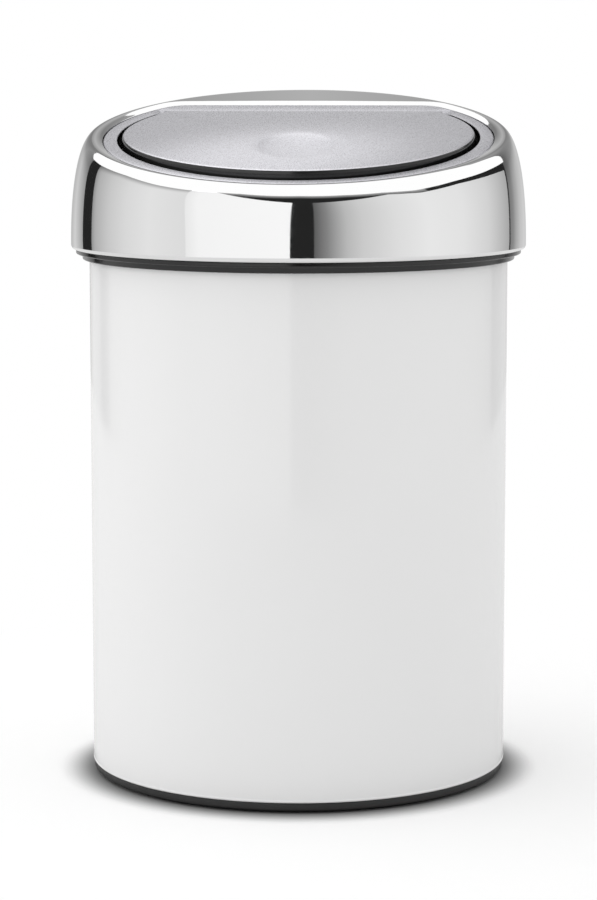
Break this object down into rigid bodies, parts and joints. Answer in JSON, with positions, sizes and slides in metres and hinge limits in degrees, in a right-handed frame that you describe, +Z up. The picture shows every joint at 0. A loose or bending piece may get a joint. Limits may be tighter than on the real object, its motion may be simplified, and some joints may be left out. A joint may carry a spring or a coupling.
{
  "type": "push top countertop bin",
  "caption": "Round white countertop bin with a lift-out bucket, a bright lid ring that slopes to the front, and a silver press-to-open flap with a finger dimple.",
  "frame": {"origin": "middle of the foot ring's underside, the face the bin stands on", "axes": "+Z up, -Y to the front where the lid is lowest and the latch is, +X to the right seen from the front"},
  "size_m": [0.1738, 0.1738, 0.2611],
  "materials": {
    "white_enamel": "glossy white enamel on steel sheet",
    "zinc_sheet": "dull galvanised sheet",
    "black_plastic": "satin black moulding",
    "grey_plastic": "plain grey moulding",
    "bare_steel": "bright drawn wire",
    "bright_steel": "polished",
    "silver_plastic": "fine grained satin silver",
    "white_plastic": "plain white moulding",
    "soft_rubber": "matt"
  },
  "bodies": {
    "bin_body": {"body_shell": "white_enamel", "body_bottom": "zinc_sheet", "base_ring": "black_plastic"},
    "bucket": {"inner_bucket": "grey_plastic"},
    "bail": {"bucket_handle": "bare_steel"},
    "lid": {"lid_ring": "bright_steel", "lid_skirt": "black_plastic", "flap_carrier": "black_plastic", "flap_frame": "silver_plastic", "carrier_screws": "bare_steel", "frame_screws": "bare_steel", "latch_housing": "black_plastic", "latch_cap": "black_plastic", "latch_spring": "bare_steel", "latch_cam_pin": "bare_steel", "latch_screws": "bare_steel", "flap_buffers": "soft_rubber", "torsion_spring_left": "bare_steel", "torsion_spring_right": "bare_steel"},
    "axle": {"hinge_axle": "bare_steel", "axle_clips": "bare_steel"},
    "flap": {"flap": "silver_plastic", "flap_liner": "black_plastic", "flap_striker": "white_plastic", "striker_screws": "bare_steel"},
    "plunger": {"latch_plunger": "white_plastic", "jaw_pin_left": "bare_steel", "jaw_pin_right": "bare_steel"},
    "jaw_left": {"latch_jaw_left": "white_plastic"},
    "jaw_right": {"latch_jaw_right": "white_plastic"}
  },
  "joints": [
    {"name": "lid_lift", "type": "slide", "parent": "bin_body", "child": "lid", "axis": [0, 0, 1], "range_m": [0, 0.44]},
    {"name": "bucket_lift", "type": "slide", "parent": "bin_body", "child": "bucket", "axis": [0, 0, 1], "range_m": [0, 0.221]},
    {"name": "handle_swing", "type": "hinge", "parent": "bucket", "child": "bail", "pos_m": [0, 0, 0.199], "axis": [-1, 0, 0], "range_deg": [0, 90]},
    {"name": "flap_press", "type": "hinge", "parent": "lid", "child": "axle", "pos_m": [0, 0.04168, 0.25029], "axis": [-1, 0, 0], "range_deg": [-1, 1.6], "stiffness_Nm_per_rad": 15},
    {"name": "flap_swing", "type": "hinge", "parent": "axle", "child": "flap", "pos_m": [0, 0.04168, 0.25029], "axis": [-1, 0, 0], "range_deg": [0, 80]},
    {"name": "plunger_slide", "type": "slide", "parent": "lid", "child": "plunger", "axis": [0, -0.1985, 0.9801], "range_m": [-0.0019, 0.003]},
    {"name": "jaw_left_turn", "type": "hinge", "parent": "plunger", "child": "jaw_left", "pos_m": [-0.0051, -0.05553, 0.21642], "axis": [0, -0.9801, -0.1985], "range_deg": [-8.5, 13.5]},
    {"name": "jaw_right_turn", "type": "hinge", "parent": "plunger", "child": "jaw_right", "pos_m": [0.0051, -0.05553, 0.21642], "axis": [0, 0.9801, 0.1985], "range_deg": [-8.5, 13.5]}
  ],
  "couplings": [
    {"joint": "bucket_lift", "follows": "lid_lift", "ratio": 0.5},
    {"joint": "handle_swing", "follows": "lid_lift", "rad_per_m": 3.56},
    {"joint": "plunger_slide", "follows": "flap_press", "m_per_rad": 0.102},
    {"joint": "jaw_left_turn", "follows": "flap_press", "ratio": 8.1},
    {"joint": "jaw_right_turn", "follows": "flap_press", "ratio": 8.1}
  ]
}
